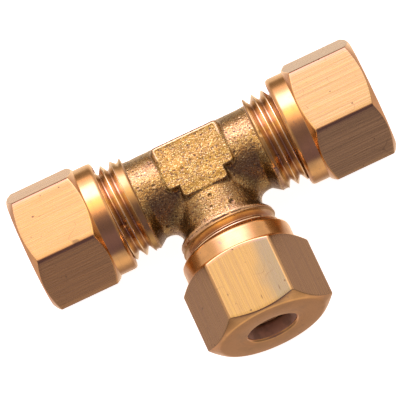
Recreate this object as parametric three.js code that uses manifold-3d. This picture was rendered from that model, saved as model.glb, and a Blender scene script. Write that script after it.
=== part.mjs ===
// Equal tee compression fitting for 6 mm tube: a forged brass tee body with three M12 x 1.25
// male spigots, and on each spigot a hexagonal compression nut with an olive inside it.
// Millimetres, +Z up. The tee lies on three hexagon flats: the run is along X, the branch
// points along -Y, and the origin is below the middle of the bounding box, on the ground.

import * as THREE from "three";
import { mergeVertices } from "three/addons/utils/BufferGeometryUtils.js";
import Module from "manifold-3d";

const wasm = await Module();
wasm.setup();

// Nut: 14 mm across flats, round collar at its open end. Lengths run from the collar's face.
const NUT_FLATS = 14;
const NUT_LENGTH = 11.05;
const COLLAR_RADIUS = 6.83;
const COLLAR_LENGTH = 2.25;
const COLLAR_EDGE = 0.35;
const NUT_FACE_RADIUS = 6.6;
const HEX_CHAMFER = Math.PI / 6;
// Its hollow: a countersunk mouth, the thread, a relief groove, then the olive's seat cone.
const NUT_THREAD_DEPTH = 6.9;
const RELIEF_RADIUS = 5.5;
const RELIEF_OVERLAP = 0.2;
const RELIEF_TAPER = 0.6;
const MOUTH_RADIUS = 6.25;
const MOUTH_END_RADIUS = 5.2;
const SEAT_START = 8.1;
const SEAT_END = 9.3;
const SEAT_RADIUS = 4.3;
const LIP = 0.25;

// Thread: M12 x 1.25, right hand. The male flanks are set back and the female flanks opened
// by FLANK_EASE, so that the nut turns freely.
const PITCH = 1.25;
const PITCH_RADIUS = 5.594;
const FLANK_ANGLE = Math.PI / 6;
const FLANK_EASE = 0.04;
const MALE_ROOT = 5.235;
const MALE_CREST = 5.93;
const FEMALE_BORE = 5.4;
const FEMALE_GROOVE = 6.12;

// Tee body, measured from the point where the run and branch axes cross.
const ARM_RADIUS = 5.1;
const SHOULDER = 8;
const LAND = 0.4;
const SPIGOT_END = 14.2;
const SPIGOT_CHAMFER = 0.7;
const TUBE_BORE = 3.1;
const TUBE_STOP = 6;
const PASSAGE_RADIUS = 2.2;
const DRILL_OVERRUN = 0.5;
const DRILL_POINT = 1.3;
const CONE_RADIUS = 4.2;
const CONE_DEPTH = 1.5;

// Raised pads on the top and bottom of the body, with stair-stepped corners on the branch side.
const PAD_HEIGHT = 5.2;
const PAD_BACK = 3.45;
const PAD_HALF_WIDTH = 4.2;
const PAD_STEP_WIDTH = 2.75;
const PAD_STEP = -2.15;
const PAD_FRONT = -3.65;

// Olive: a soft brass ring, tapered at both ends.
const OLIVE_LENGTH = 5;
const OLIVE_BORE = 3.08;
const OLIVE_END_RADIUS = 3.35;
const OLIVE_RADIUS = 4.05;
const OLIVE_TAPER = 1.7;
const OLIVE_GAP = 0.13;

// Distance from the crossing to the outer face of a run nut and of the branch nut, which is
// screwed on a little further.
const RUN_REACH = 22.4;
const BRANCH_REACH = 21.3;

// Each arm's heading about Z, its nut's reach, and a distance at which a crest of its thread
// passes the top of the spigot.
const ARMS = [
  { name: "left", heading: Math.PI, reach: RUN_REACH, crest: 8.95 },
  { name: "right", heading: 0, reach: RUN_REACH, crest: 8.3 },
  { name: "branch", heading: -Math.PI / 2, reach: BRANCH_REACH, crest: 8.6 },
];

const ROUND_SEGMENTS = 36;
const HELIX_SEGMENTS = 18;

// How far a cutting shape runs out past the face it opens.
const OVERRUN = 1;

// Derived: the hexagon's corner radius, and the place of the crossing.
const HEX_RADIUS = NUT_FLATS / Math.sqrt(3);
const AXIS_HEIGHT = NUT_FLATS / 2;
const CROSSING_Y = (BRANCH_REACH - HEX_RADIUS) / 2;

// A closed geometry as a solid, with its shared vertices merged.
function solid(geometry) {
  geometry.deleteAttribute("normal");
  geometry.deleteAttribute("uv");
  const merged = mergeVertices(geometry, 1e-4);
  return new wasm.Manifold(
    new wasm.Mesh({
      numProp: 3,
      vertProperties: new Float32Array(merged.attributes.position.array),
      triVerts: new Uint32Array(merged.index.array),
    }),
  );
}

// A solid of revolution about Y from [radius, height] pairs, which start and end on the axis.
function lathe(profile) {
  const points = profile.map(([radius, height]) => new THREE.Vector2(radius, height));
  return solid(new THREE.LatheGeometry(points, ROUND_SEGMENTS));
}

// A threaded rod about Y with a right-hand helix. Each pitch has four helical edges: the foot
// and the crest of the rising flank, then the crest and the foot of the falling flank. A crest
// passes the top of the spigot at the height phase, and the rod covers at least low to high.
// Ease sets both flanks out by that much.
function threadedRod({ root, crest, ease, phase, low, high }) {
  const halfWidth = (radius) =>
    PITCH / 4 + ease - (radius - PITCH_RADIUS) * Math.tan(FLANK_ANGLE);
  const edges = [
    [root, -halfWidth(root)],
    [crest, -halfWidth(crest)],
    [crest, halfWidth(crest)],
    [root, halfWidth(root)],
  ];
  const start = phase + PITCH * (Math.floor((low - phase) / PITCH) - 1);
  const turns = Math.ceil((high - start) / PITCH) + 1;
  const steps = turns * HELIX_SEGMENTS;

  // Each step adds one vertex per edge. The last turn of the first edge closes the top pitch.
  const positions = [];
  const indices = [];
  const addPoint = (step, [radius, offset]) => {
    const angle = (2 * Math.PI * step) / HELIX_SEGMENTS;
    const height = start + offset + (PITCH * step) / HELIX_SEGMENTS;
    positions.push(radius * Math.sin(angle), height, radius * Math.cos(angle));
  };
  for (let step = 0; step <= steps; step++) edges.forEach((edge) => addPoint(step, edge));
  for (let step = 1; step <= HELIX_SEGMENTS; step++) addPoint(steps + step, edges[0]);
  const vertex = (step, edge) => {
    if (edge === edges.length) return vertex(step + HELIX_SEGMENTS, 0);
    const beyond = step - steps;
    return beyond > 0 ? (steps + 1) * edges.length + beyond - 1 : step * edges.length + edge;
  };

  for (let step = 0; step < steps; step++) {
    for (let edge = 0; edge < edges.length; edge++) {
      const [a, b] = [vertex(step, edge), vertex(step + 1, edge)];
      const [c, d] = [vertex(step, edge + 1), vertex(step + 1, edge + 1)];
      indices.push(a, b, d, a, d, c);
    }
  }

  // The two ragged ends are closed by fans around a point on the axis.
  const closeEnd = (step, height, flip) => {
    const rim = [];
    for (let turn = 0; turn < HELIX_SEGMENTS; turn++) rim.push(vertex(step + turn, 0));
    for (let edge = edges.length; edge > 0; edge--) rim.push(vertex(step, edge));
    const apex = positions.length / 3;
    positions.push(0, height, 0);
    rim.forEach((point, i) => {
      const next = rim[(i + 1) % rim.length];
      indices.push(apex, ...(flip ? [point, next] : [next, point]));
    });
  };
  closeEnd(0, start + edges[0][1], false);
  closeEnd(steps, start + edges[0][1] + PITCH * (turns + 1), true);

  const geometry = new THREE.BufferGeometry();
  geometry.setAttribute("position", new THREE.Float32BufferAttribute(positions, 3));
  geometry.setIndex(indices);
  return solid(geometry);
}

// One arm of the body along Y: plain forged arm, land, thread and chamfered end.
function arm({ crest }) {
  const blank = lathe([
    [0, 0],
    [ARM_RADIUS, 0],
    [ARM_RADIUS, SHOULDER],
    [MALE_CREST, SHOULDER],
    [MALE_CREST, SHOULDER + LAND],
    [0, SHOULDER + LAND],
  ]);
  const envelope = lathe([
    [0, SHOULDER + LAND / 2],
    [HEX_RADIUS, SHOULDER + LAND / 2],
    [HEX_RADIUS, SPIGOT_END - SPIGOT_CHAMFER - (HEX_RADIUS - MALE_CREST)],
    [MALE_CREST - SPIGOT_CHAMFER, SPIGOT_END],
    [0, SPIGOT_END],
  ]);
  const rod = threadedRod({
    root: MALE_ROOT,
    crest: MALE_CREST,
    ease: -FLANK_EASE,
    phase: crest,
    low: SHOULDER,
    high: SPIGOT_END,
  });
  return blank.add(rod.intersect(envelope));
}

// The hollow of one arm: drilled passage, tube socket down to its stop, and olive cone.
function armBore() {
  return lathe([
    [0, -DRILL_OVERRUN - DRILL_POINT],
    [PASSAGE_RADIUS, -DRILL_OVERRUN],
    [PASSAGE_RADIUS, TUBE_STOP],
    [TUBE_BORE, TUBE_STOP],
    [TUBE_BORE, SPIGOT_END - CONE_DEPTH],
    [CONE_RADIUS, SPIGOT_END],
    [CONE_RADIUS + OVERRUN, SPIGOT_END + OVERRUN],
    [0, SPIGOT_END + OVERRUN],
  ]);
}

// The block through the body whose top and bottom faces are the raised pads.
function padBlock() {
  const outline = new THREE.Shape([
    new THREE.Vector2(-PAD_HALF_WIDTH, PAD_BACK),
    new THREE.Vector2(-PAD_HALF_WIDTH, PAD_STEP),
    new THREE.Vector2(-PAD_STEP_WIDTH, PAD_STEP),
    new THREE.Vector2(-PAD_STEP_WIDTH, PAD_FRONT),
    new THREE.Vector2(PAD_STEP_WIDTH, PAD_FRONT),
    new THREE.Vector2(PAD_STEP_WIDTH, PAD_STEP),
    new THREE.Vector2(PAD_HALF_WIDTH, PAD_STEP),
    new THREE.Vector2(PAD_HALF_WIDTH, PAD_BACK),
  ]);
  const block = new THREE.ExtrudeGeometry(outline, {
    depth: 2 * PAD_HEIGHT,
    bevelEnabled: false,
  });
  return solid(block.translate(0, 0, -PAD_HEIGHT));
}

// A solid made along Y, turned to an arm's heading.
function toHeading(made, { heading }) {
  return made.rotate([0, 0, THREE.MathUtils.radToDeg(heading) - 90]);
}

function teeBody() {
  const outside = ARMS.map((each) => toHeading(arm(each), each));
  const hollow = ARMS.map((each) => toHeading(armBore(), each));
  const forging = outside.reduce((body, piece) => body.add(piece), padBlock());
  return hollow.reduce((body, bore) => body.subtract(bore), forging);
}

// A compression nut along Y, its collar face at 0 and its outer face at NUT_LENGTH.
function nut({ reach, crest }) {
  const slope = Math.tan(HEX_CHAMFER);
  const hexagon = solid(
    new THREE.CylinderGeometry(
      HEX_RADIUS, HEX_RADIUS, NUT_LENGTH, 6, 1, false, Math.PI / 6,
    ).translate(0, NUT_LENGTH / 2, 0),
  );
  const wide = HEX_RADIUS + OVERRUN;
  const turned = lathe([
    [0, 0],
    [COLLAR_RADIUS - COLLAR_EDGE, 0],
    [COLLAR_RADIUS, COLLAR_EDGE],
    [COLLAR_RADIUS, COLLAR_LENGTH],
    [wide, COLLAR_LENGTH + (wide - COLLAR_RADIUS) * slope],
    [wide, NUT_LENGTH - (wide - NUT_FACE_RADIUS) * slope],
    [NUT_FACE_RADIUS, NUT_LENGTH],
    [0, NUT_LENGTH],
  ]);
  const mouth = lathe([
    [0, -OVERRUN],
    [MOUTH_RADIUS + OVERRUN, -OVERRUN],
    [MOUTH_RADIUS, 0],
    [MOUTH_END_RADIUS, MOUTH_RADIUS - MOUTH_END_RADIUS],
    [0, MOUTH_RADIUS - MOUTH_END_RADIUS],
  ]);
  const seat = lathe([
    [0, NUT_THREAD_DEPTH - RELIEF_OVERLAP],
    [RELIEF_RADIUS, NUT_THREAD_DEPTH - RELIEF_OVERLAP],
    [RELIEF_RADIUS, SEAT_START - RELIEF_TAPER],
    [SEAT_RADIUS, SEAT_START],
    [TUBE_BORE, SEAT_END],
    [TUBE_BORE, NUT_LENGTH - LIP],
    [TUBE_BORE + LIP, NUT_LENGTH],
    [TUBE_BORE + LIP + OVERRUN, NUT_LENGTH + OVERRUN],
    [0, NUT_LENGTH + OVERRUN],
  ]);
  const depth = lathe([
    [0, -OVERRUN],
    [HEX_RADIUS, -OVERRUN],
    [HEX_RADIUS, NUT_THREAD_DEPTH],
    [0, NUT_THREAD_DEPTH],
  ]);
  const tap = threadedRod({
    root: FEMALE_BORE,
    crest: FEMALE_GROOVE,
    ease: FLANK_EASE,
    phase: crest - (reach - NUT_LENGTH),
    low: 0,
    high: NUT_THREAD_DEPTH,
  });
  const hollow = [mouth, tap.intersect(depth), seat];
  return hollow.reduce((made, cutter) => made.subtract(cutter), hexagon.intersect(turned));
}

// An olive along Y, its inner end at 0.
function olive() {
  const profile = [
    [OLIVE_BORE, 0],
    [OLIVE_END_RADIUS, 0],
    [OLIVE_RADIUS, OLIVE_TAPER],
    [OLIVE_RADIUS, OLIVE_LENGTH - OLIVE_TAPER],
    [OLIVE_END_RADIUS, OLIVE_LENGTH],
    [OLIVE_BORE, OLIVE_LENGTH],
    [OLIVE_BORE, 0],
  ];
  return lathe(profile);
}

// A named mesh of a solid.
function mesh(name, made, material) {
  const { vertProperties, triVerts } = made.getMesh();
  const geometry = new THREE.BufferGeometry();
  geometry.setAttribute("position", new THREE.BufferAttribute(vertProperties, 3));
  geometry.setIndex(new THREE.BufferAttribute(triVerts, 1));
  geometry.computeVertexNormals();
  const shape = new THREE.Mesh(geometry, material);
  shape.name = name;
  return shape;
}

const forgedBrass = () =>
  new THREE.MeshStandardMaterial({ color: 0xb0804a, roughness: 0.45, metalness: 1 });
const turnedBrass = () =>
  new THREE.MeshStandardMaterial({ color: 0xd3a15c, roughness: 0.25, metalness: 1 });
const softBrass = () =>
  new THREE.MeshStandardMaterial({ color: 0xd8b060, roughness: 0.35, metalness: 1 });

// Where the seat cone of a nut meets an olive's end, from the nut's collar face.
const SEAT_SLOPE = (SEAT_END - SEAT_START) / (SEAT_RADIUS - TUBE_BORE);
const OLIVE_CONTACT = SEAT_END - (OLIVE_END_RADIUS - TUBE_BORE) * SEAT_SLOPE;

const fitting = new THREE.Group();
fitting.position.set(0, CROSSING_Y, AXIS_HEIGHT);
fitting.add(mesh("tee_body", teeBody(), forgedBrass()));
for (const each of ARMS) {
  const collarFace = each.reach - NUT_LENGTH;
  const nutMesh = mesh(`nut_${each.name}`, nut(each), turnedBrass());
  const oliveMesh = mesh(`olive_${each.name}`, olive(), softBrass());
  nutMesh.position.y = collarFace;
  oliveMesh.position.y = collarFace + OLIVE_CONTACT - OLIVE_GAP - OLIVE_LENGTH;
  const armFrame = new THREE.Group();
  armFrame.rotation.z = each.heading - Math.PI / 2;
  armFrame.add(nutMesh, oliveMesh);
  fitting.add(armFrame);
}

const part = new THREE.Group();
part.add(fitting);
export default part;
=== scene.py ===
"""A brass equal tee compression fitting: a forged body with threaded spigots, and a nut and an
olive on each of its three arms."""

import math

import bmesh
import bpy
import numpy as np
from mathutils import Matrix, Vector, noise


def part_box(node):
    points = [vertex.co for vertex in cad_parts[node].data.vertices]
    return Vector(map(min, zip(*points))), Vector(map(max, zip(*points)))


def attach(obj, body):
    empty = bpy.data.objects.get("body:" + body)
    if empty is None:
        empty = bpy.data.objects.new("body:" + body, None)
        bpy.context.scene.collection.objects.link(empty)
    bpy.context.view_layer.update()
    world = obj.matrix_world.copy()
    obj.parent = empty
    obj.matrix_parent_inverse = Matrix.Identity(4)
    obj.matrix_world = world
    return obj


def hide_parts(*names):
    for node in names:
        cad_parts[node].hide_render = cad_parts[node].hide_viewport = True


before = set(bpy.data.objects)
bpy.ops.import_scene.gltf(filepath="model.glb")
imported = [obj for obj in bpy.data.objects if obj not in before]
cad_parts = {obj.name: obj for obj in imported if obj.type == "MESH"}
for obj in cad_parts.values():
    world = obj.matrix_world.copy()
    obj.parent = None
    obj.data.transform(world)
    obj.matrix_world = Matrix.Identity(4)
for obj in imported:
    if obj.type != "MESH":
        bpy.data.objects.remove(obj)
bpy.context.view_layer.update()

# Sizes are in millimetres, and MM turns them into the frame's metres.
MM = 0.001

# Nut: lengths run from its collar's face.
NUT_LENGTH = 11.05
HEX_APOTHEM = 7.0
HEX_CORNER_ROUND = 0.48
HEX_CHAMFER = math.tan(math.radians(30))
COLLAR_RADIUS = 6.83
COLLAR_LENGTH = 2.25
NUT_FACE_RADIUS = 6.6
NUT_THREAD_START = 0.85
NUT_THREAD_END = 6.9
RELIEF_RADIUS = 5.5
SEAT_RADIUS = 4.3
SEAT_START = 8.1
SEAT_END = 9.3
FLAT_ROWS = 20

# Thread: the male flanks are set back and the female flanks opened by FLANK_EASE.
PITCH = 1.25
PITCH_RADIUS = 5.594
FLANK = math.tan(math.radians(30))
FLANK_EASE = 0.04
FEMALE_BORE = 5.40
FEMALE_GROOVE = 6.12
FEMALE_ROUND = 0.05
MALE_CREST = 5.96
MALE_ROOT = 5.11
MALE_ROUND = 0.04
# A row of thread this close to either end of its stretch is moved onto that end.
SNAP = 0.016

# Arm: lengths run from the crossing.
SHOULDER = 8.0
LAND_RADIUS = 5.84
# The thread's groove fades out over this stretch, by where its middle lies.
GROOVE_GONE = 8.38
GROOVE_FULL = 8.7
SPIGOT_END = 14.2
SPIGOT_CHAMFER = 0.7
SPIGOT_COLUMNS = 128
LATHE_COLUMNS = 96
TUBE_BORE = 3.1
TUBE_STOP = 6
PASSAGE_RADIUS = 2.2
CONE_RADIUS = 4.2
CONE_START = 12.7

# Olive.
OLIVE_LENGTH = 5
OLIVE_BORE = 3.08
OLIVE_END_RADIUS = 3.35
OLIVE_RADIUS = 4.05
OLIVE_TAPER = 1.7
OLIVE_GAP = 0.13
# Where the nut's seat touches the olive's end, from the nut's collar face.
OLIVE_CONTACT = 9.05

# The crossing of the run and branch axes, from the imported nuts.
branch_low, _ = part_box("nut_branch")
run_low, run_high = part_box("nut_left")
CROSSING = Vector((0, (run_low.y + run_high.y) / 2, HEX_APOTHEM * MM))
RUN_REACH = -run_low.x / MM
BRANCH_REACH = (CROSSING.y - branch_low.y) / MM

# Each arm's outward direction, its nut's reach, and where a crest passes its top.
ARMS = {
    "left": (Vector((-1, 0, 0)), RUN_REACH, 8.95),
    "right": (Vector((1, 0, 0)), RUN_REACH, 8.3),
    "branch": (Vector((0, -1, 0)), BRANCH_REACH, 8.5),
}


def arm_matrix(direction):
    """From an arm's own frame in millimetres, axis +Z and up +X, to the row frame in metres."""
    up = Vector((0, 0, 1))
    side = direction.cross(up)
    turn = Matrix((up, side, direction)).transposed().to_4x4()
    return Matrix.Translation(CROSSING) @ turn @ Matrix.Scale(MM, 4)


def smoothstep(low, high, x):
    """0 where x is low, 1 where it is high, and a smooth rise between them."""
    t = np.clip((np.asarray(x) - low) / (high - low), 0, 1)
    return t * t * (3 - 2 * t)


def hump(x, middle, width):
    """1 at the middle, and nearly 0 beyond two widths from it."""
    return np.exp(-((x - middle) / width) ** 2)


def corner_rows(radii, steps=3):
    """Which corner each point made by soften belongs to."""
    return [i for i, radius in enumerate(radii) for _ in range(steps + 1 if radius else 1)]


def soften(corners, radii, steps=3):
    """A polyline whose corners are rounded: corners is (columns, points, 2), and radii say how
    far back from each corner its curve starts."""
    out = []
    count = corners.shape[1]
    for i in range(count):
        here = corners[:, i]
        if radii[i] == 0:
            out.append(here)
            continue
        before = corners[:, (i - 1) % count] - here
        after = corners[:, (i + 1) % count] - here
        start = here + before / np.linalg.norm(before, axis=1, keepdims=True) * radii[i]
        end = here + after / np.linalg.norm(after, axis=1, keepdims=True) * radii[i]
        for step in range(steps + 1):
            t = step / steps
            out.append((1 - t) ** 2 * start + 2 * t * (1 - t) * here + t * t * end)
    return np.stack(out, axis=1)


def pitch_profile(root, crest, ease, rounding):
    """Offsets from the middle of a ridge and radii over one pitch, from root to root."""

    def half_width(radius):
        return PITCH / 4 + ease - (radius - PITCH_RADIUS) * FLANK

    corners = np.array([[
        [-PITCH / 2, root],
        [-half_width(root), root],
        [-half_width(crest), crest],
        [half_width(crest), crest],
        [half_width(root), root],
        [PITCH / 2, root],
    ]])
    return soften(corners, [0, rounding, rounding, rounding, rounding, 0], 2)[0]


def thread_points(angles, start, end, crest_at_top, profile, limit):
    """The thread's stretch of a turned surface, and its rows to a pitch: the rows follow the
    helix and are held at its ends, and limit has the last word on the radius."""
    per_pitch = len(profile) - 1
    pitches = math.ceil((end - start) / PITCH) + 2
    first = crest_at_top + PITCH * (math.floor((start - crest_at_top) / PITCH) - 1)
    offsets = np.concatenate([
        first + PITCH * k + profile[:-1, 0] for k in range(pitches + 1)
    ])
    helix = PITCH * angles[:, None] / (2 * math.pi)
    place = offsets[None, :] + helix
    held = np.clip(place, start, end)
    held = np.where(held < start + SNAP, start, np.where(held > end - SNAP, end, held))
    phase = (held - helix - crest_at_top + PITCH / 2) % PITCH - PITCH / 2
    radius = np.interp(phase, profile[:, 0], profile[:, 1])
    radius = limit(held, phase, radius)
    return np.stack([radius, held], axis=2), per_pitch


def revolve(name, columns, angles, direction, zones=None, threads=None):
    """A closed surface from one closed profile per angle. columns is (angles, points, 2) of
    radius and height, and zones gives each row's material. threads is (first, last, shift):
    rows that join the next turn of a helix."""
    count, points = columns.shape[:2]
    radius, height = columns[:, :, 0], columns[:, :, 1]
    x = radius * np.cos(angles)[:, None]
    y = radius * np.sin(angles)[:, None]
    verts = np.stack([x, y, height], axis=2).reshape(-1, 3)
    column = np.arange(count)[:, None]
    row = np.arange(points)[None, :]
    index = column * points + row
    following = np.roll(index, -1, axis=0)
    if threads:
        first, last, shift = threads
        rows = np.arange(first, last)
        following[-1, rows] = np.minimum(rows + shift, last - 1)
    faces = np.stack([
        index, following, np.roll(following, -1, axis=1), np.roll(index, -1, axis=1)
    ], axis=2).reshape(-1, 4)
    zone = np.tile(zones if zones is not None else np.zeros(points, int), count)
    return closed_object(name, verts, faces, arm_matrix(direction), zone)


def closed_object(name, verts, faces, matrix, zone=None):
    """An object from vertices and quads: coincident points merged, faces turned outwards, and
    each vertex's place before the matrix kept as its bench attribute, for the materials."""
    mesh = bpy.data.meshes.new(name)
    mesh.from_pydata(verts.tolist(), [], faces.tolist())
    if zone is not None:
        mesh.polygons.foreach_set("material_index", zone)
    work = bmesh.new()
    work.from_mesh(mesh)
    bmesh.ops.remove_doubles(work, verts=work.verts, dist=1e-5)
    loose = [edge for edge in work.edges if not edge.link_faces]
    bmesh.ops.delete(work, geom=loose, context="EDGES")
    bmesh.ops.recalc_face_normals(work, faces=work.faces)
    work.to_mesh(mesh)
    work.free()
    bench = mesh.attributes.new("bench", "FLOAT_VECTOR", "POINT")
    places = np.empty(len(mesh.vertices) * 3, np.float32)
    mesh.vertices.foreach_get("co", places)
    bench.data.foreach_set("vector", places)
    mesh.transform(matrix)
    mesh.polygons.foreach_set("use_smooth", [True] * len(mesh.polygons))
    made = bpy.data.objects.new(name, mesh)
    bpy.context.scene.collection.objects.link(made)
    return made


def hexagon_columns():
    """Angles and radii round a hexagon with rounded corners, its first flat facing up."""
    inner = (HEX_APOTHEM - HEX_CORNER_ROUND) / math.cos(math.pi / 6)
    points = []
    for side in range(6):
        corner = math.radians(30 + 60 * side)
        for step in np.linspace(-30, 30, 7):
            bend = corner + math.radians(step)
            points.append((
                inner * math.cos(corner) + HEX_CORNER_ROUND * math.cos(bend),
                inner * math.sin(corner) + HEX_CORNER_ROUND * math.sin(bend),
            ))
        start = np.array(points[-1])
        after = corner + math.radians(60)
        end = np.array((
            inner * math.cos(after) + HEX_CORNER_ROUND * math.cos(after - math.pi / 6),
            inner * math.sin(after) + HEX_CORNER_ROUND * math.sin(after - math.pi / 6),
        ))
        for t in np.linspace(0, 1, 17)[1:-1]:
            points.append(tuple(start + (end - start) * t))
    points = np.array(points)
    angles = np.arctan2(points[:, 1], points[:, 0]) % (2 * math.pi)
    order = np.argsort(angles)
    return angles[order], np.hypot(points[:, 0], points[:, 1])[order]


TURNED, DRAWN, INSIDE = 0, 1, 2

# A nut's profile ahead of its thread and behind it: radius, height, corner softening, and the
# surface that follows. A radius of None is the hexagon's own.
NUT_MOUTH = [
    (6.3, 0, 0.1, INSIDE),
    (RELIEF_RADIUS, 0.8, 0, INSIDE),
]
NUT_REST = [
    (RELIEF_RADIUS, NUT_THREAD_END, 0, INSIDE),
    (RELIEF_RADIUS, 7.5, 0.1, INSIDE),
    (SEAT_RADIUS, SEAT_START, 0.1, INSIDE),
    (TUBE_BORE, SEAT_END, 0.1, INSIDE),
    (TUBE_BORE, NUT_LENGTH - 0.2, 0.1, TURNED),
    (TUBE_BORE + 0.2, NUT_LENGTH, 0.08, TURNED),
    (NUT_FACE_RADIUS, NUT_LENGTH, 0.25, TURNED),
    (None, NUT_LENGTH, 0.07, DRAWN),
    (None, COLLAR_LENGTH, 0.12, TURNED),
    (COLLAR_RADIUS, COLLAR_LENGTH, 0.06, TURNED),
    (COLLAR_RADIUS, 0, 0.5, TURNED),
]


def make_nut(name, direction, reach, crest_at_top):
    """A hollow nut with its thread, its flats in rows of their own."""
    angles, hexagon = hexagon_columns()
    collar_face = reach - NUT_LENGTH
    profile = pitch_profile(FEMALE_BORE, FEMALE_GROOVE, FLANK_EASE, FEMALE_ROUND)
    thread, per_pitch = thread_points(
        angles, NUT_THREAD_START, NUT_THREAD_END, crest_at_top - collar_face, profile,
        lambda place, phase, radius: radius,
    )
    front = NUT_LENGTH - (hexagon - NUT_FACE_RADIUS) * HEX_CHAMFER
    back = COLLAR_LENGTH + (hexagon - COLLAR_RADIUS) * HEX_CHAMFER

    def corner(radius, height):
        if radius is None:
            return np.stack([hexagon, front if height == NUT_LENGTH else back], axis=1)
        return np.stack([np.full_like(hexagon, radius), np.full_like(hexagon, height)], axis=1)

    listed = NUT_MOUTH + NUT_REST
    radii = [entry[2] for entry in listed]
    soft = soften(np.stack([corner(r, h) for r, h, _, _ in listed], axis=1), radii)
    owner = corner_rows(radii)
    zones = [listed[i][3] for i in owner]

    # The flats get rows of their own between their two softened ends.
    flat_front = [radius for radius, _, _, _ in listed].index(None)
    last = owner.index(flat_front + 1) - 1
    spread = np.linspace(0, 1, FLAT_ROWS + 1)[1:-1][None, :, None]
    flats = soft[:, last:last + 1] * (1 - spread) + soft[:, last + 1:last + 2] * spread
    split = owner.index(len(NUT_MOUTH))
    columns = np.concatenate(
        [soft[:, :split], thread, soft[:, split:last + 1], flats, soft[:, last + 1:]], axis=1
    )
    zones = (
        zones[:split] + [INSIDE] * thread.shape[1] + zones[split:last + 1]
        + [DRAWN] * (FLAT_ROWS - 1) + zones[last + 1:]
    )
    columns[:, :, 1] += collar_face
    threads = (split, split + thread.shape[1], per_pitch)
    return revolve(name, columns, angles, direction, zones, threads)


# A spigot's profile behind its thread, inside the forging, and ahead of it: radius, height.
SPIGOT_FOOT = [(0, 6.4), (4.7, 6.4), (4.7, 7.6), (5.0, 7.9), (5.76, 7.98)]
SPIGOT_FACE = [(4.6, SPIGOT_END), (0, SPIGOT_END)]


def make_spigot(name, direction, crest_at_top):
    """The machined end of an arm, solid, from inside the forging to the spigot's end."""
    # The seam, where the first groove starts, is turned to the underside.
    turned = np.linspace(-math.pi, math.pi, SPIGOT_COLUMNS, endpoint=False)

    def limit(place, phase, radius):
        """A plain land that the groove fades into, and a chamfer at the spigot's end."""
        groove = place - phase + np.where(phase > 0, PITCH / 2, -PITCH / 2)
        depth = smoothstep(GROOVE_GONE, GROOVE_FULL, groove)
        threaded = LAND_RADIUS + (radius - LAND_RADIUS) * depth
        chamfer = MALE_CREST - np.maximum(place - (SPIGOT_END - SPIGOT_CHAMFER), 0)
        return np.minimum(threaded, chamfer)

    profile = pitch_profile(MALE_ROOT, MALE_CREST, -FLANK_EASE, MALE_ROUND)
    thread, per_pitch = thread_points(
        turned, SHOULDER + 0.05, SPIGOT_END, crest_at_top, profile, limit
    )
    foot, face = (
        np.repeat(np.array(part, float)[None], len(turned), axis=0)
        for part in (SPIGOT_FOOT, SPIGOT_FACE)
    )
    columns = np.concatenate([foot, thread, face], axis=1)
    first = len(SPIGOT_FOOT)
    threads = (first, first + thread.shape[1], per_pitch)
    return revolve(name, columns, turned, direction, threads=threads)


# Knocks in each spigot's thread, in the order of ARMS: place from the crossing, radius, depth.
GOUGES = [[((-10.80, -3.22, 4.05), 0.42, 0.35)], [((8.41, -0.86, 5.85), 0.30, 0.20)], []]


def gouge(made, place, radius, depth):
    """Presses a dent with a raised rim into a piece, at a place from the crossing."""
    centre = CROSSING + Vector(place) * MM
    out = Vector((0, place[1], place[2])).normalized()
    for vertex in made.data.vertices:
        away = (vertex.co - centre).length / (radius * MM)
        if away < 3:
            rim = 0.45 * math.exp(-((away - 1.15) / 0.3) ** 2)
            vertex.co += out * ((rim - math.exp(-away ** 4)) * depth * MM)


def lathe(name, direction, corners, start=0, steps=3):
    """A plain turned piece from its profile: radius, height from start, corner softening."""
    angles = np.linspace(0, 2 * math.pi, LATHE_COLUMNS, endpoint=False)
    points = np.array([[radius, height + start] for radius, height, _ in corners])
    columns = np.repeat(points[None], len(angles), axis=0)
    radii = [softening for _, _, softening in corners]
    return revolve(name, soften(columns, radii, steps), angles, direction)


def make_bore(name, direction):
    """The hollow of an arm: drilled passage, tube socket and olive cone."""
    cone_end = CONE_RADIUS + 1.0
    outside = SPIGOT_END + 1.4
    return lathe(name, direction, [
        (0, -1.8, 0), (PASSAGE_RADIUS, -0.5, 0), (PASSAGE_RADIUS, TUBE_STOP, 0.05),
        (TUBE_BORE, TUBE_STOP, 0.05), (TUBE_BORE, CONE_START, 0.1),
        (CONE_RADIUS, SPIGOT_END, 0), (cone_end, outside, 0), (0, outside, 0),
    ])


def make_olive(name, direction, reach):
    """A soft ring tapered at both ends, a small gap short of its nut's seat."""
    start = reach - NUT_LENGTH + OLIVE_CONTACT - OLIVE_GAP - OLIVE_LENGTH
    return lathe(name, direction, [
        (OLIVE_BORE, 0, 0.06), (OLIVE_END_RADIUS, 0, 0.06), (OLIVE_RADIUS, OLIVE_TAPER, 0.5),
        (OLIVE_RADIUS, OLIVE_LENGTH - OLIVE_TAPER, 0.5), (OLIVE_END_RADIUS, OLIVE_LENGTH, 0.06),
        (OLIVE_BORE, OLIVE_LENGTH, 0.06),
    ], start, 5)


# ---- The forging ----

ARM_RADIUS = 5.1
FORGING_END = 8.1
# How far an arm flares on its crotch side, and where the flare starts.
FLARE = 0.75
FLARE_START = 6.9
FLARE_LENGTH = 1.1
# How far the skin stands over the branch's turned land, and runs along it.
LIP_RISE = 0.03
LIP_REACH = 0.20
# The pads' stepped outline, seen from above at their tops, with +Y away from the branch.
PAD_HEIGHT = 5.22
PAD_FOOT = 2.6
PAD_HALF_WIDTH = 4.25
PAD_STEP_WIDTH = 2.78
PAD_BACK = 3.5
PAD_STEP = -2.2
PAD_FRONT = -3.7
PAD_CORNER = 0.5
PAD_DRAFT = 0.25
# The pads' tops dip towards the front, and have a raised rim at the back.
PAD_DIP = 0.10
RIM_RISE = 0.05
RIM_WIDTH = 0.13
# The grid that the forging's surface is read from.
GRID_LOW = np.array((-8.7, -8.7, -6.3))
GRID_HIGH = np.array((8.7, 5.9, 6.3))
GRID_STEP = 0.115


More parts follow.
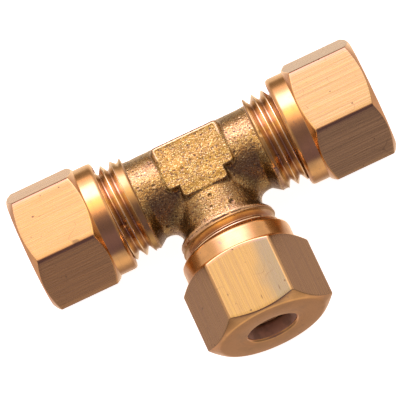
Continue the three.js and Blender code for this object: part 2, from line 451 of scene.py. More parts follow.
def polygon_distance(x, y, outline):
    """Signed distance to a closed outline, negative inside."""
    nearest = np.full(x.shape, 1e9)
    inside = np.zeros(x.shape, bool)
    for (ax, ay), (bx, by) in zip(outline, outline[1:] + outline[:1]):
        ex, ey = bx - ax, by - ay
        wx, wy = x - ax, y - ay
        t = np.clip((wx * ex + wy * ey) / (ex * ex + ey * ey), 0, 1)
        nearest = np.minimum(nearest, (wx - ex * t) ** 2 + (wy - ey * t) ** 2)
        if ey != 0:
            crosses = ((ay <= y) != (by <= y)) & (x < ax + (y - ay) * ex / ey)
            inside ^= crosses
    return np.where(inside, -1, 1) * np.sqrt(nearest)


def smooth_union(a, b, blend):
    """The distance outside two shapes joined with a fillet, from the distance outside each."""
    h = np.clip(0.5 + 0.5 * (b - a) / blend, 0, 1)
    return b + (a - b) * h - blend * h * (1 - h)


def pad_outline(x, y, z):
    """Distance outside the stepped outline of a pad's drafted walls, its corners rounded."""
    side, step = PAD_HALF_WIDTH - PAD_CORNER, PAD_STEP_WIDTH - PAD_CORNER
    back, notch, front = PAD_BACK - PAD_CORNER, PAD_STEP + PAD_CORNER, PAD_FRONT + PAD_CORNER
    outline = [
        (-side, back), (-side, notch), (-step, notch), (-step, front),
        (step, front), (step, notch), (side, notch), (side, back),
    ]
    draft = PAD_DRAFT * (PAD_HEIGHT - np.abs(z))
    return polygon_distance(x, y, outline) - PAD_CORNER - draft


def edge_radius(y):
    """The rounding of a pad's upper edge: tight at the front, wider at the back."""
    return 0.14 + 0.16 * smoothstep(-1.6, 1.6, y)


def pad_distance(x, y, z):
    """The raised pads at the top and bottom, their upper edges softened."""
    flat = pad_outline(x, y, z)
    edge = edge_radius(y)
    top = PAD_HEIGHT - PAD_DIP * smoothstep(-2.2, -3.5, y)
    top = top + RIM_RISE * smoothstep(0.5, 2.0, y) * hump(flat + edge, 0, RIM_WIDTH)
    tall = np.maximum(np.abs(z) - top, PAD_FOOT - np.abs(z))
    return np.hypot(np.maximum(flat + edge, 0), np.maximum(tall + edge, 0)) + np.minimum(
        np.maximum(flat, tall) + edge, 0
    ) - edge


def ragged(angle):
    """An uneven edge round an arm, in millimetres either way."""
    waves = [(5, 1.0, 0.5), (11, 0.0, 0.8), (19, 2.0, 1.0), (31, 4.0, 0.8), (47, 1.5, 0.6)]
    return 0.025 * sum(size * np.sin(count * angle + start) for count, start, size in waves)


def arm_distance(along, across, up, crotch):
    """A forged arm that flares at its end on the crotch side."""
    side = smoothstep(0.1, 0.95, crotch / np.maximum(np.hypot(across, up), 0.1))
    flare = FLARE * side * np.clip((along - FLARE_START) / FLARE_LENGTH, 0, 1)
    flare = flare + 0.05 * smoothstep(7.0, 8.0, along)
    return np.maximum(np.hypot(across, up) - ARM_RADIUS - flare, along - FORGING_END)


def lip_distance(along, across, up):
    """The forging's skin where it runs over the branch's turned land, with a ragged edge."""
    outside = np.hypot(across, up) - LAND_RADIUS - LIP_RISE
    front = along - SHOULDER - LIP_REACH - ragged(np.arctan2(across, up))
    return np.maximum(np.maximum(outside, front), SHOULDER - 0.2 - along)


def forging_distance(x, y, z):
    """Distance outside the forging, in millimetres from the crossing, negative inside."""
    run = arm_distance(np.abs(x), y, z, -y)
    branch = np.maximum(arm_distance(-y, x, z, np.abs(x)), y)
    branch = np.minimum(branch, lip_distance(-y, x, z))
    # The arms blend widely in the crotches and meet sharply over the top.
    blend = 0.15 + 1.7 * smoothstep(5.0, 2.2, np.abs(z))
    return smooth_union(smooth_union(run, branch, blend), pad_distance(x, y, z), 0.3)


def surface_net(field, low, step):
    """Vertices and quads of a field's zero surface on a regular grid."""
    shape = np.array(field.shape)
    cells = shape - 1
    total = int(np.prod(cells))
    sums = np.zeros((3, total))
    counts = np.zeros(total)
    quads = []
    for axis in range(3):
        others = [a for a in range(3) if a != axis]
        here = [slice(None)] * 3
        there = [slice(None)] * 3
        here[axis], there[axis] = slice(0, -1), slice(1, None)
        f0, f1 = field[tuple(here)], field[tuple(there)]
        edge = np.argwhere((f0 < 0) != (f1 < 0))
        keep = np.all((edge[:, others] > 0) & (edge[:, others] < cells[others]), axis=1)
        edge = edge[keep]
        a, b = f0[tuple(edge.T)], f1[tuple(edge.T)]
        point = edge.astype(float)
        point[:, axis] += a / (a - b)
        around = []
        for du, dv in ((-1, -1), (0, -1), (0, 0), (-1, 0)):
            cell = edge.copy()
            cell[:, others[0]] += du
            cell[:, others[1]] += dv
            flat = np.ravel_multi_index(cell.T, cells)
            around.append(flat)
            counts += np.bincount(flat, minlength=total)
            for k in range(3):
                sums[k] += np.bincount(flat, point[:, k], minlength=total)
        quad = np.stack(around, axis=1)
        flip = (a < 0) == (axis == 1)
        quad[flip] = quad[flip][:, ::-1]
        quads.append(quad)
    used = np.flatnonzero(counts)
    verts = (sums[:, used] / counts[used]).T * step + low
    renumber = np.full(total, -1)
    renumber[used] = np.arange(len(used))
    return verts, renumber[np.concatenate(quads)]


def grain(point):
    """Height of the forged skin above its smooth surface, in millimetres."""
    broad = noise.noise(point * 0.5)
    lumps = noise.noise(point * 1.5 + Vector((7, 3, 1)))
    fine = noise.noise(point * 3.6 + Vector((1, 9, 4)))
    return 0.03 * broad + 0.012 * lumps + 0.014 * fine


# Pits and burrs in the skin, from the crossing: place, radius, and depth where positive.
MARKS = [
    ((-0.42, 0.07, 5.2), 0.17, 0.16),
    ((-1.72, -0.43, 5.2), 0.22, 0.07),
    ((-0.11, -4.91, 5.1), 0.24, 0.22),
    ((1.91, -6.56, 4.73), 0.30, 0.18),
    ((-0.5, -6.3, 5.07), 0.22, 0.10),
    ((-7.44, -0.26, 5.13), 0.16, 0.12),
    ((-5.61, -0.81, 5.04), 0.20, 0.10),
    ((-7.32, -4.57, 2.25), 0.30, 0.16),
    ((-6.11, -4.85, 1.75), 0.25, 0.14),
    ((4.61, -7.24, 2.22), 0.26, -0.20),
    ((4.9, -7.5, 1.6), 0.20, 0.16),
]
RANDOM_PITS = 110
PITS_ON_BRANCH = 0.35


def marks():
    """The placed marks, and shallow random pits all over the skin."""
    chance = np.random.default_rng(11)
    places = [list(place) for place, _, _ in MARKS]
    sizes = [(radius, depth) for _, radius, depth in MARKS]
    for _ in range(RANDOM_PITS):
        angle = chance.uniform(0, 2 * math.pi)
        along = chance.uniform(-7.8, 7.8)
        ring = (ARM_RADIUS * math.cos(angle), ARM_RADIUS * math.sin(angle))
        if chance.uniform() < PITS_ON_BRANCH:
            places.append([ring[0], -abs(along), ring[1]])
        else:
            places.append([along, ring[0], ring[1]])
        sizes.append((chance.uniform(0.12, 0.24), chance.uniform(0.03, 0.10)))
    return np.array(places), np.array(sizes)


NUDGE = 0.02


def forging_normals(points):
    """The direction straight out of the forging at each point."""
    slopes = []
    for nudge in np.eye(3) * NUDGE:
        ahead, behind = points + nudge, points - nudge
        slopes.append(forging_distance(*ahead.T) - forging_distance(*behind.T))
    slope = np.stack(slopes, axis=1)
    return slope / np.maximum(np.linalg.norm(slope, axis=1, keepdims=True), 1e-9)


def make_forging(name):
    """The forged skin with its grain and pits, and at each vertex how worn it is and how much
    painted shade it carries.
    """
    axes = [np.arange(low, high, GRID_STEP) for low, high in zip(GRID_LOW, GRID_HIGH)]
    field = forging_distance(*np.meshgrid(*axes, indexing="ij"))
    verts, quads = surface_net(field, GRID_LOW, GRID_STEP)
    verts = verts - forging_normals(verts) * forging_distance(*verts.T)[:, None]
    normals = forging_normals(verts)
    heights = np.array([grain(Vector(p)) for p in verts.tolist()])
    heights = heights - dents(verts)[0]
    verts = verts + normals * heights[:, None]
    matrix = Matrix.Translation(CROSSING) @ Matrix.Scale(MM, 4)
    made = closed_object(name, verts, quads, matrix)
    places = np.array([(vertex.co - CROSSING) / MM for vertex in made.data.vertices])
    wear_and_shade = skin_wear_and_shade(*places.T) - dents(places)[1]
    attribute = made.data.attributes.new("wear_and_shade", "FLOAT", "POINT")
    attribute.data.foreach_set("value", np.clip(wear_and_shade, -1, 1).astype(np.float32))
    return made


def dents(verts):
    """The depth of the marks at each vertex, and how far each one lies inside a pit."""
    depths = np.zeros(len(verts))
    dark = np.zeros(len(verts))
    places, sizes = marks()
    for place, (radius, depth) in zip(places, sizes):
        away = np.linalg.norm(verts - place, axis=1) / radius
        pit = np.exp(-away ** 2 * 1.5)
        rim = hump(away, 1.3, 0.4)
        depths += depth * (pit - 0.25 * rim)
        dark = np.maximum(dark, pit if depth > 0 else 0)
    return depths, dark


def pad_wear_and_shade(x, y, z):
    """How worn a pad's upper edge is, brighter towards the back as a painted highlight, and the
    painted shade in the crease round its foot.
    """
    across = pad_outline(x, y, z)
    below = PAD_HEIGHT - np.abs(z)
    run_top = np.sqrt(np.maximum(ARM_RADIUS ** 2 - y ** 2, 0))
    branch_top = np.where(y < 0, np.sqrt(np.maximum(ARM_RADIUS ** 2 - x ** 2, 0)), 0)
    step = smoothstep(0.15, 0.6, PAD_HEIGHT - np.maximum(run_top, branch_top))
    edge = hump(across + edge_radius(y), 0.04, 0.14) * smoothstep(0.45, 0.15, below)
    # Brighter towards the back: the worn edge there carries a painted highlight as well.
    edge = edge * step * (0.45 + 0.55 * smoothstep(-1.0, 2.5, y))
    # The crease round the pad's foot is painted shade, strongest where the step is tall.
    crease = hump(across, 0.19, 0.09) * (0.1 + 0.9 * step)
    crease = crease * smoothstep(0.03, 0.12, below) * smoothstep(1.6, 1.2, below)
    return edge, crease


def skin_wear_and_shade(x, y, z):
    """1 on worn edges (on the pads' edges partly a painted highlight) and the arms' rims, -1 for
    painted shade in the creases, along the shoulders and in the crotches, 0 on plain skin.
    """
    edge, crease = pad_wear_and_shade(x, y, z)
    along = np.maximum(np.abs(x), -y)
    crotch = np.minimum(np.abs(x), -y)
    radius = np.where(np.abs(x) > -y, np.hypot(y, z), np.hypot(x, z))
    rim = smoothstep(5.5, 5.8, radius) * smoothstep(7.7, 7.9, along)
    # The shoulder line is a painted dark line of shade where the skin meets the machined land.
    shoulder = hump(along, 7.92, 0.08) * (1 - rim)
    # Painted shade on the crotch side of the flares and in the valleys between the arms, kept off
    # the rims.
    inner = smoothstep(0.2, 0.8, crotch / np.maximum(radius, 0.1))
    flare = 0.7 * smoothstep(5.8, 7.4, along) * inner
    valley = 0.45 * smoothstep(1.2, 2.6, crotch) * smoothstep(5.0, 4.4, np.abs(z))
    valley = valley * smoothstep(6.0, 4.5, crotch)
    crotch_shade = np.maximum(flare, valley) * (1 - rim)
    return np.maximum(edge, 0.8 * rim) - np.maximum(np.maximum(crease, shoulder), crotch_shade)


def combine(target, others, operation):
    """Adds a boolean with each of the other pieces to target."""
    for other in others:
        boolean = target.modifiers.new(other.name, "BOOLEAN")
        boolean.operation = operation
        boolean.object = other
        boolean.solver = "MANIFOLD"
        boolean.material_mode = "INDEX"


def apply_modifiers(made, leftovers):
    """Fixes a piece's modifiers into its mesh and deletes the pieces they used."""
    bpy.context.view_layer.update()
    graph = bpy.context.evaluated_depsgraph_get()
    mesh = bpy.data.meshes.new_from_object(
        made.evaluated_get(graph), preserve_all_data_layers=True, depsgraph=graph
    )
    made.modifiers.clear()
    old = made.data
    made.data = mesh
    bpy.data.meshes.remove(old)
    for piece in leftovers:
        bpy.data.objects.remove(piece)


# ---- Materials ----


def feed(tree, socket, value):
    """Links another socket into this one, or sets its value."""
    if isinstance(value, bpy.types.NodeSocket):
        tree.links.new(value, socket)
    else:
        socket.default_value = value


def node(tree, kind, settings=None, **values):
    """A shader node from its kind, its settings, and what feeds its inputs, by name."""
    made = tree.nodes.new("ShaderNode" + kind)
    for key, value in (settings or {}).items():
        setattr(made, key, value)
    for key, value in values.items():
        feed(tree, made.inputs[key.replace("_", " ")], value)
    return made


def mapped(tree, vector, scale=(1, 1, 1), shift=(0, 0, 0)):
    """A vector scaled, then shifted."""
    return node(tree, "Mapping", Vector=vector, Scale=scale, Location=shift).outputs[0]


def cloud(tree, vector, scale, detail=2.0, roughness=0.5):
    """Soft noise from 0 to 1, its features about 1/scale apart."""
    return node(
        tree, "TexNoise", Vector=vector, Scale=scale, Detail=detail, Roughness=roughness
    ).outputs["Fac"]


def window(tree, value, low, high, start=0.0, end=1.0):
    """value mapped smoothly from low..high to start..end."""
    return node(
        tree, "MapRange", {"interpolation_type": "SMOOTHSTEP"}, Value=value,
        From_Min=low, From_Max=high, To_Min=start, To_Max=end,
    ).outputs["Result"]


def maths(tree, operation, a, b=0.0):
    """The result of an operation on one or two values."""
    made = node(tree, "Math", {"operation": operation})
    feed(tree, made.inputs[0], a)
    feed(tree, made.inputs[1], b)
    return made.outputs[0]


def blend(tree, factor, a, b):
    """Colour a where factor is 0 and b where it is 1."""
    made = node(tree, "Mix", {"data_type": "RGBA"})
    feed(tree, made.inputs[0], factor)
    for socket, colour in ((made.inputs[6], a), (made.inputs[7], b)):
        feed(tree, socket, colour if isinstance(colour, bpy.types.NodeSocket) else (*colour, 1))
    return made.outputs[2]


def bumped(tree, height, depth):
    """A normal from a height of 0 to 1, depth being what 1 stands for in millimetres."""
    return node(tree, "Bump", Height=height, Distance=depth * MM, Strength=1.0).outputs[0]


def metal(name):
    """An empty brass material: its tree, its shader, and the bench position in millimetres."""
    material = bpy.data.materials.new(name)
    material.use_nodes = True
    tree = material.node_tree
    shader = tree.nodes["Principled BSDF"]
    shader.inputs["Metallic"].default_value = 1
    bench = node(tree, "Attribute", {"attribute_name": "bench"}).outputs["Vector"]
    return material, tree, shader, bench


def finish_metal(tree, shader, colour, roughness, normal):
    """Feeds a metal's shader with what its surface is made of."""
    feed(tree, shader.inputs["Base Color"], colour)
    feed(tree, shader.inputs["Roughness"], roughness)
    feed(tree, shader.inputs["Normal"], normal)


def radius_and_height(tree, bench):
    """(radius, 0, height) of a bench position: the same all round an arm's axis."""
    up, across, along = node(tree, "SeparateXYZ", Vector=bench).outputs
    squares = [maths(tree, "MULTIPLY", part, part) for part in (up, across)]
    radius = maths(tree, "SQRT", maths(tree, "ADD", *squares))
    return node(tree, "CombineXYZ", X=radius, Y=0.0, Z=along).outputs[0]


# Where a material has a pair of colours, a slow noise wanders between them.
ARM_SKIN = ((0.310, 0.196, 0.080), (0.44, 0.284, 0.100))
# The pads' tops take a darker, less blue copy of the arms' skin: painted shade that offsets the
# light they face.
PAD_SKIN_PAINTED_SHADE = ((0.262, 0.164, 0.050), (0.37, 0.230, 0.061))
SKIN_PIT = (0.105, 0.060, 0.048)
SKIN_GLINT = (0.98, 0.91, 0.45)
# Pale worn brass for the worn edges and the arms' rims; on the pads' upper edges it is partly a
# painted highlight.
SKIN_WORN_AND_HIGHLIGHT = (0.80, 0.58, 0.33)
# A dark brown for painted shade in the creases, along the shoulders and in the crotches; it also
# darkens the pits.
SKIN_PITS_AND_SHADE = (0.10, 0.06, 0.042)
SKIN_DEPTH = 0.07


def forged_material():
    """Shot-blasted forging skin: stippled gold, brown in its pits, worn bright on top with a
    painted highlight on the pads' back edges, painted shade in its creases, shoulders and
    crotches, and a darker painted-shade copy on the pads' tops.
    """
    material, tree, shader, bench = metal("forged_brass_skin")
    stipple = cloud(tree, bench, 3.9, 2.0, 0.5)
    speckle = cloud(tree, mapped(tree, bench, shift=(3, 8, 2)), 7.5, 1.0, 0.5)
    patch = cloud(tree, mapped(tree, bench, shift=(9, 1, 5)), 0.5, 3.0, 0.6)
    deep = window(tree, stipple, 0.47, 0.34)
    bright = window(tree, speckle, 0.54, 0.70)
    shade = window(tree, patch, 0.35, 0.65)
    up = maths(tree, "ABSOLUTE", node(tree, "SeparateXYZ", Vector=bench).outputs[2])
    # On the pads' tops the skin takes its painted-shade copy.
    on_pad = window(tree, up, PAD_HEIGHT - 0.15, PAD_HEIGHT - 0.06)
    colour = blend(
        tree, on_pad, blend(tree, shade, *ARM_SKIN), blend(tree, shade, *PAD_SKIN_PAINTED_SHADE)
    )
    colour = blend(tree, maths(tree, "MULTIPLY", deep, 0.9), colour, SKIN_PIT)
    colour = blend(tree, maths(tree, "MULTIPLY", bright, 0.58), colour, SKIN_GLINT)
    wear_and_shade = node(tree, "Attribute", {"attribute_name": "wear_and_shade"}).outputs["Fac"]
    # Worn edges and rims brightened, on the pads' upper edges partly as a painted highlight.
    colour = blend(tree, window(tree, wear_and_shade, 0.2, 0.9, 0, 0.75), colour, SKIN_WORN_AND_HIGHLIGHT)
    # Painted shade from the negative values: creases, shoulders and crotches, and darker inside
    # the pits.
    colour = blend(tree, window(tree, wear_and_shade, -0.15, -0.9, 0, 0.55), colour, SKIN_PITS_AND_SHADE)
    height = maths(
        tree, "ADD", maths(tree, "MULTIPLY", stipple, 0.6), maths(tree, "MULTIPLY", speckle, 0.4)
    )
    rough = window(tree, stipple, 0.3, 0.7, 0.36, 0.22)
    finish_metal(tree, shader, colour, rough, bumped(tree, height, SKIN_DEPTH))
    return material


THREAD_COLOURS = ((0.82, 0.585, 0.285), (0.68, 0.47, 0.235))
THREAD_ROOT = (0.53, 0.335, 0.205)
# A pale colour for the crests: partly wear, partly a painted highlight.
THREAD_CREST_WEAR_AND_HIGHLIGHT = (0.95, 0.76, 0.48)
THREAD_PIT = (0.24, 0.153, 0.0945)
LAND_COLOUR = (0.49, 0.315, 0.115)
# The plain land beside the forging ends where the thread's first groove is cut.
LAND_END = (9.1, 8.85)


def thread_material():
    """Cut thread, its turning marks round the axis, its crests brightened, partly as wear and
    partly as a painted highlight, duller in its roots and on the land.
    """
    material, tree, shader, bench = metal("cut_thread_brass")
    round_marks = radius_and_height(tree, bench)
    marks = cloud(tree, mapped(tree, round_marks, (14, 0, 14)), 1.0, 2.0)
    patch = cloud(tree, bench, 0.9, 3.0, 0.6)
    colour = blend(tree, window(tree, patch, 0.4, 0.7), *THREAD_COLOURS)
    radius, _, height = node(tree, "SeparateXYZ", Vector=round_marks).outputs
    rooted = window(tree, radius, MALE_CREST - 0.12, MALE_ROOT + 0.1, 0, 0.8)
    colour = blend(tree, rooted, colour, THREAD_ROOT)
    # Brightened crests: partly wear, partly a painted highlight.
    crest = window(tree, radius, MALE_CREST - 0.06, MALE_CREST - 0.02)
    colour = blend(tree, crest, colour, THREAD_CREST_WEAR_AND_HIGHLIGHT)
    pits = cloud(tree, bench, 3.0, 1.0)
    colour = blend(tree, window(tree, pits, 0.70, 0.78), colour, THREAD_PIT)
    land = maths(
        tree, "MULTIPLY", window(tree, height, *LAND_END),
        window(tree, radius, LAND_RADIUS - 0.16, LAND_RADIUS - 0.06),
    )
    colour = blend(tree, maths(tree, "MULTIPLY", land, 0.85), colour, LAND_COLOUR)
    rough = maths(
        tree, "ADD", window(tree, patch, 0.3, 0.7, 0.13, 0.22),
        maths(tree, "MULTIPLY", land, 0.12),
    )
    finish_metal(tree, shader, colour, rough, bumped(tree, marks, 0.004))
    return material


TURNED_COLOURS = ((0.80, 0.490, 0.205), (0.68, 0.425, 0.180))
TURNED_STAIN = (0.42, 0.283, 0.203)
TURNED_MARK = (0.55, 0.342, 0.189)


def turned_material():
    """The nut's lathe-turned collar, chamfers and end face."""
    material, tree, shader, bench = metal("turned_nut_brass")
    round_marks = radius_and_height(tree, bench)
    marks = cloud(tree, mapped(tree, round_marks, (9, 0, 9)), 1.0, 3.0, 0.7)
    patch = cloud(tree, mapped(tree, bench, shift=(4, 4, 1)), 0.42, 3.0, 0.55)
    colour = blend(tree, window(tree, patch, 0.42, 0.68), *TURNED_COLOURS)
    stain = cloud(tree, mapped(tree, bench, shift=(2, 6, 7)), 1.3, 3.0, 0.6)
    colour = blend(tree, window(tree, stain, 0.62, 0.74, 0, 0.6), colour, TURNED_STAIN)
    colour = blend(tree, window(tree, marks, 0.52, 0.68, 0, 0.4), colour, TURNED_MARK)
    rough = window(tree, patch, 0.3, 0.7, 0.15, 0.22)
    finish_metal(tree, shader, colour, rough, bumped(tree, marks, 0.005))
    return material


GREY_TARNISH = (0.24, 0.215, 0.18)
# How far to the side the grey ends, for a nut that has none.
UNTARNISHED = -20
FLAT_SPECK = (0.16, 0.106, 0.0675)
FLAT_SPOT = (0.15, 0.09, 0.06)
FLAT_SCRATCH = (0.20, 0.13, 0.08)
RIDGE_START = 7.93
RIDGE_END = 7.975


def drawn_material(name, clean, dull, ridge_wear_and_shade, grey_above, shift, spots):
    """A hexagon's flats as drawn: streaked along the bar between two colours, its ridges given a
    colour of their own (a painted dark reflection where it is darker than the flats, wear where it
    is brighter), with grey tarnish towards one side and small dark spots."""
    material, tree, shader, bench = metal(name)
    moved = mapped(tree, bench, shift=shift)
    streak = cloud(tree, mapped(tree, moved, (7.0, 7.0, 0.05)), 1.0, 3.0, 0.75)
    fine = cloud(tree, mapped(tree, moved, (11, 11, 0.5)), 1.0, 2.0, 0.6)
    patch = cloud(tree, mapped(tree, moved, (1, 1, 0.5), (5, 2, 3)), 0.3, 3.0, 0.5)
    colour = blend(tree, window(tree, streak, 0.35, 0.66), dull, clean)
    up, across, _ = node(tree, "SeparateXYZ", Vector=bench).outputs
    side = maths(tree, "ADD", across, maths(tree, "MULTIPLY", patch, 6.0))
    grey = window(tree, side, grey_above + 4.4, grey_above + 1.8, 0, 0.75)
    top = window(tree, up, HEX_APOTHEM - 0.4, HEX_APOTHEM - 0.1)
    colour = blend(tree, maths(tree, "MULTIPLY", grey, top), colour, GREY_TARNISH)
    radius = node(tree, "SeparateXYZ", Vector=radius_and_height(tree, bench)).outputs[0]
    # The ridges take their own colour: on the left and right nuts a painted dark reflection, on
    # the branch nut wear.
    colour = blend(tree, window(tree, radius, RIDGE_START, RIDGE_END, 0, 0.9), colour, ridge_wear_and_shade)
    dots = cloud(tree, mapped(tree, moved, shift=(8, 3, 6)), 2.6, 0.5)
    colour = blend(tree, window(tree, dots, 0.77, 0.83), colour, FLAT_SPECK)
    for place, size in spots:
        local = node(tree, "VectorMath", {"operation": "SUBTRACT"}, Vector=bench)
        local.inputs[1].default_value = place
        spot = node(
            tree, "VectorMath", {"operation": "LENGTH"},
            Vector=mapped(tree, local.outputs[0], [1 / s for s in size]),
        )
        near = window(tree, spot.outputs["Value"], 1.0, 0.4, 0, 0.85)
        colour = blend(tree, near, colour, FLAT_SPOT)
    # Scratches lie where a slow noise crosses its middle, in some places only.
    wander = cloud(tree, mapped(tree, moved, (1, 1, 0.7), (3, 7, 5)), 0.30, 1.0)
    line = window(tree, maths(tree, "ABSOLUTE", maths(tree, "SUBTRACT", wander, 0.5)), 0.0045, 0.0)
    where = window(tree, cloud(tree, mapped(tree, moved, shift=(1, 5, 9)), 0.35), 0.54, 0.62)
    scratch = maths(tree, "MULTIPLY", line, where)
    colour = blend(tree, maths(tree, "MULTIPLY", scratch, 0.7), colour, FLAT_SCRATCH)
    height = maths(
        tree, "ADD", maths(tree, "MULTIPLY", streak, 0.7), maths(tree, "MULTIPLY", fine, 0.3)
    )
    rough = window(tree, fine, 0.3, 0.7, 0.22, 0.3)
    finish_metal(tree, shader, colour, rough, bumped(tree, height, 0.014))
    return material


BORED_COLOURS = ((0.86, 0.59, 0.44), (0.62, 0.42, 0.31))


def inside_material():
    """Bores and the nuts' threads: dark, with marks from the drill and tap."""
    material, tree, shader, bench = metal("bored_brass")
    shader.inputs["Metallic"].default_value = 0.6
    marks = cloud(tree, mapped(tree, radius_and_height(tree, bench), (8, 0, 8)), 1.0, 3.0, 0.7)
    patch = cloud(tree, bench, 0.8, 3.0)
    colour = blend(tree, window(tree, patch, 0.4, 0.66), *BORED_COLOURS)
    rough = window(tree, marks, 0.3, 0.7, 0.3, 0.45)
    finish_metal(tree, shader, colour, rough, bumped(tree, marks, 0.01))
    return material


OLIVE_COLOURS = ((0.90, 0.684, 0.351), (0.74, 0.543, 0.27))


def olive_material():
    """The olives' soft brass, finely turned."""
    material, tree, shader, bench = metal("olive_brass")
    marks = cloud(tree, mapped(tree, radius_and_height(tree, bench), (11, 0, 11)), 1.0, 2.0)
    patch = cloud(tree, bench, 1.1, 2.0)
    colour = blend(tree, window(tree, patch, 0.4, 0.66), *OLIVE_COLOURS)
    finish_metal(tree, shader, colour, 0.24, bumped(tree, marks, 0.004))
    return material


forged_skin = forged_material()
thread_brass = thread_material()
turned_brass = turned_material()
# The flats' clean and dull colours on each nut, and its ridges' colour: darker than the flats on
# the left and right nuts as a painted dark reflection, brighter on the branch nut as wear.
LEFT_COLOURS = ((0.59, 0.358, 0.165), (0.45, 0.285, 0.143), (0.40, 0.24, 0.13))
RIGHT_COLOURS = ((0.555, 0.372, 0.195), (0.385, 0.262, 0.142), (0.38, 0.24, 0.13))
AGED_COLOURS = ((0.46, 0.31, 0.132), (0.36, 0.24, 0.124), (0.56, 0.37, 0.17))
# Spots: the place in millimetres (up, to the side, along the arm), then half sizes.
drawn_brass = {
    "left": drawn_material(
        "drawn_hexagon_left", *LEFT_COLOURS, UNTARNISHED, (0, 0, 0),
        [((7, 1.4, 19.9), (0.5, 0.16, 0.22)), ((7, 3.4, 18.1), (0.5, 0.10, 0.12))],
    ),
    "right": drawn_material(
        "drawn_hexagon_right", *RIGHT_COLOURS, UNTARNISHED, (13, 5, 31),
        [((7, 2.8, 19.5), (0.5, 0.14, 0.18))],
    ),
    "branch": drawn_material(
        "drawn_hexagon_branch", *AGED_COLOURS, -2.5, (6, 21, 17),
        [
            ((7, -3.6, 19.1), (0.5, 0.14, 0.16)),
            ((7, -2.7, 19.6), (0.5, 0.06, 0.5)),
            ((7, -0.4, 19.7), (0.5, 0.07, 0.4)),
            ((2.8, 6.5, 16.4), (0.3, 0.5, 0.12)),
        ],
    ),
}
bored_brass = inside_material()
olive_brass = olive_material()


def set_materials(made, materials, index=None):
    """Gives a piece its materials, and every face the one at index if there is an index."""
    for material in materials:
        made.data.materials.append(material)
    if index is not None:
        made.data.polygons.foreach_set("material_index", [index] * len(made.data.polygons))


# One list for the pieces that become the body, so that a boolean keeps each face's material.
BODY_MATERIALS = [forged_skin, thread_brass, bored_brass]
FORGED, THREADED, BORED = 0, 1, 2

body = make_forging("tee_body_brass")
set_materials(body, BODY_MATERIALS, FORGED)
spigots = []
bores = []
for arm_name, (direction, _, crest_at_top) in ARMS.items():
    spigots.append(make_spigot(f"spigot_{arm_name}", direction, crest_at_top))
    bores.append(make_bore(f"bore_{arm_name}", direction))
    set_materials(spigots[-1], BODY_MATERIALS, THREADED)
    set_materials(bores[-1], BODY_MATERIALS, BORED)
for spigot, gouges in zip(spigots, GOUGES):
    for gouged in gouges:
        gouge(spigot, *gouged)
combine(body, spigots, "UNION")
combine(body, bores, "DIFFERENCE")
apply_modifiers(body, spigots + bores)
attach(body, "body")
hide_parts("tee_body")

for arm_name, (direction, reach, crest_at_top) in ARMS.items():
    nut = make_nut(f"compression_nut_{arm_name}", direction, reach, crest_at_top)
    set_materials(nut, [turned_brass, drawn_brass[arm_name], bored_brass])
    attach(nut, f"{arm_name}_nut")
    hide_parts(f"nut_{arm_name}")
    olive = make_olive(f"olive_ring_{arm_name}", direction, reach)
    set_materials(olive, [olive_brass])
    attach(olive, f"{arm_name}_olive")
    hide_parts(f"olive_{arm_name}")

# ---- Stage, light and camera ----

CAMERA_BACK = Vector((0.0107, -0.3627, 0.9318)).normalized()
CAMERA_RIGHT = Vector((0.9045, -0.3937, -0.1637)).normalized()
# The camera's distance in metres, and its lens on a sensor 36 mm wide.
CAMERA_DISTANCE = 0.548
CAMERA_LENS = 417.3
# The picture's middle, to the right of the crossing and above it, in millimetres.
CAMERA_AIM = (-0.14, -3.08)
FLOOR_HALF_WIDTH = 3.0
FLOOR_COLOUR = (0.93, 0.93, 0.93, 1)
FLOOR_GLOW = 0.9


def add_camera():
    """A long lens over the front of the fitting, turned so that the run slopes."""
    data = bpy.data.cameras.new("camera")
    data.sensor_width = 36
    data.lens = CAMERA_LENS
    data.clip_start = 0.01
    camera = bpy.data.objects.new("camera", data)
    up = CAMERA_BACK.cross(CAMERA_RIGHT)
    right = up.cross(CAMERA_BACK)
    turn = Matrix((right, up, CAMERA_BACK)).transposed()
    place = CROSSING + right * (CAMERA_AIM[0] * MM) + up * (CAMERA_AIM[1] * MM)
    camera.matrix_world = Matrix.Translation(place + CAMERA_BACK * CAMERA_DISTANCE) @ turn.to_4x4()
    bpy.context.scene.collection.objects.link(camera)
    bpy.context.scene.camera = camera


def add_floor():
    """A pale floor that glows softly and stays out of the brass's reflections."""
    mesh = bpy.data.meshes.new("floor")
    side = FLOOR_HALF_WIDTH
    corners = [(-side, -side, 0), (side, -side, 0), (side, side, 0), (-side, side, 0)]
    mesh.from_pydata(corners, [], [(0, 1, 2, 3)])
    floor = bpy.data.objects.new("floor", mesh)
    bpy.context.scene.collection.objects.link(floor)
    material = bpy.data.materials.new("pale_floor")
    material.use_nodes = True
    shader = material.node_tree.nodes["Principled BSDF"]
    shader.inputs["Base Color"].default_value = FLOOR_COLOUR
    shader.inputs["Roughness"].default_value = 0.9
    shader.inputs["Emission Color"].default_value = (1, 1, 1, 1)
    shader.inputs["Emission Strength"].default_value = FLOOR_GLOW
    mesh.materials.append(material)
    floor.visible_glossy = False


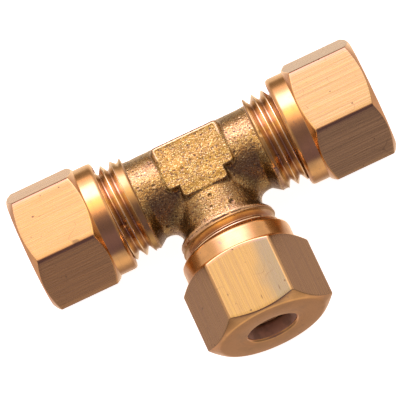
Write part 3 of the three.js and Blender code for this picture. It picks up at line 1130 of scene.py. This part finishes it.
# Brightness of the studio round the plane of the branch: degrees from overhead, towards the
# front where positive, and the colour there.
STUDIO_BAND = [
    (-180, (0.80, 0.64, 0.54)),
    (-145, (1.30, 1.06, 0.84)),
    (-118, (0.95, 0.78, 0.66)),
    (-106, (0.30, 0.21, 0.15)),
    (-92, (0.30, 0.21, 0.15)),
    (-80, (1.3, 0.90, 0.76)),
    (-68, (1.7, 1.40, 1.45)),
    (-54, (4.7, 3.5, 4.9)),
    (-36, (4.7, 3.7, 5.0)),
    (-30, (3.0, 2.3, 3.6)),
    (-25, (2.20, 1.84, 1.40)),
    (-18, (2.08, 1.90, 1.04)),
    (-9, (1.90, 1.34, 0.98)),
    (0, (1.35, 0.90, 0.72)),
    (9, (0.53, 0.345, 0.33)),
    (18, (0.26, 0.185, 0.25)),
    (34, (0.18, 0.130, 0.180)),
    (60, (0.225, 0.160, 0.25)),
    (94, (0.182, 0.128, 0.218)),
    (105, (0.69, 0.56, 0.53)),
    (125, (0.94, 0.72, 0.58)),
    (158, (0.41, 0.29, 0.25)),
    (180, (0.69, 0.54, 0.48)),
]
BRIGHTEST = 5.0
# To the left and right the band gives way to plain sides, which are darker low at the front.
SIDE_HIGH = (0.92, 0.70, 0.61)
SIDE_LOW = (0.72, 0.53, 0.53)
SIDE_FRONT = 0.35
BAND_MIDDLE = 0.06
BAND_END = 0.16
SIDE_START = 0.66


def brightened(tree, colour, level):
    """A colour multiplied by a level."""
    scale = node(tree, "VectorMath", {"operation": "SCALE"}, Vector=colour, Scale=level)
    return scale.outputs["Vector"]


def add_world():
    """A studio of soft panels: one above and behind, dark in front, paler at the sides."""
    world = bpy.data.worlds.new("studio")
    world.use_nodes = True
    bpy.context.scene.world = world
    tree = world.node_tree
    tree.nodes.clear()
    where = node(tree, "TexCoord").outputs["Generated"]
    right, back, up = node(tree, "SeparateXYZ", Vector=where).outputs
    turn = maths(tree, "ARCTAN2", maths(tree, "MULTIPLY", back, -1.0), up)
    along = maths(tree, "ADD", maths(tree, "DIVIDE", turn, 2 * math.pi), 0.5)
    band = node(tree, "ValToRGB", Fac=along)
    ramp = band.color_ramp
    ramp.interpolation = "EASE"
    # The ramp starts with its two end stops.
    for degrees, _ in STUDIO_BAND[1:-1]:
        ramp.elements.new((degrees + 180) / 360)
    for stop, (_, colour) in zip(ramp.elements, STUDIO_BAND):
        stop.color = (*[c / BRIGHTEST for c in colour], 1)
    lit = brightened(tree, band.outputs["Color"], BRIGHTEST)
    sides = blend(tree, window(tree, up, -0.6, 0.5), SIDE_LOW, SIDE_HIGH)
    front = maths(
        tree, "MULTIPLY", window(tree, back, 0.05, -0.45), window(tree, up, -0.75, -0.35)
    )
    dimming = maths(tree, "MULTIPLY", front, 1 - SIDE_FRONT)
    sides = brightened(tree, sides, maths(tree, "SUBTRACT", 1.0, dimming))
    off_middle = maths(tree, "ABSOLUTE", maths(tree, "SUBTRACT", right, BAND_MIDDLE))
    studio = blend(tree, window(tree, off_middle, BAND_END, SIDE_START), lit, sides)
    background = node(tree, "Background", Color=studio)
    output = tree.nodes.new("ShaderNodeOutputWorld")
    tree.links.new(background.outputs[0], output.inputs[0])


bpy.context.scene.view_settings.view_transform = "Standard"
add_world()
add_floor()
add_camera()
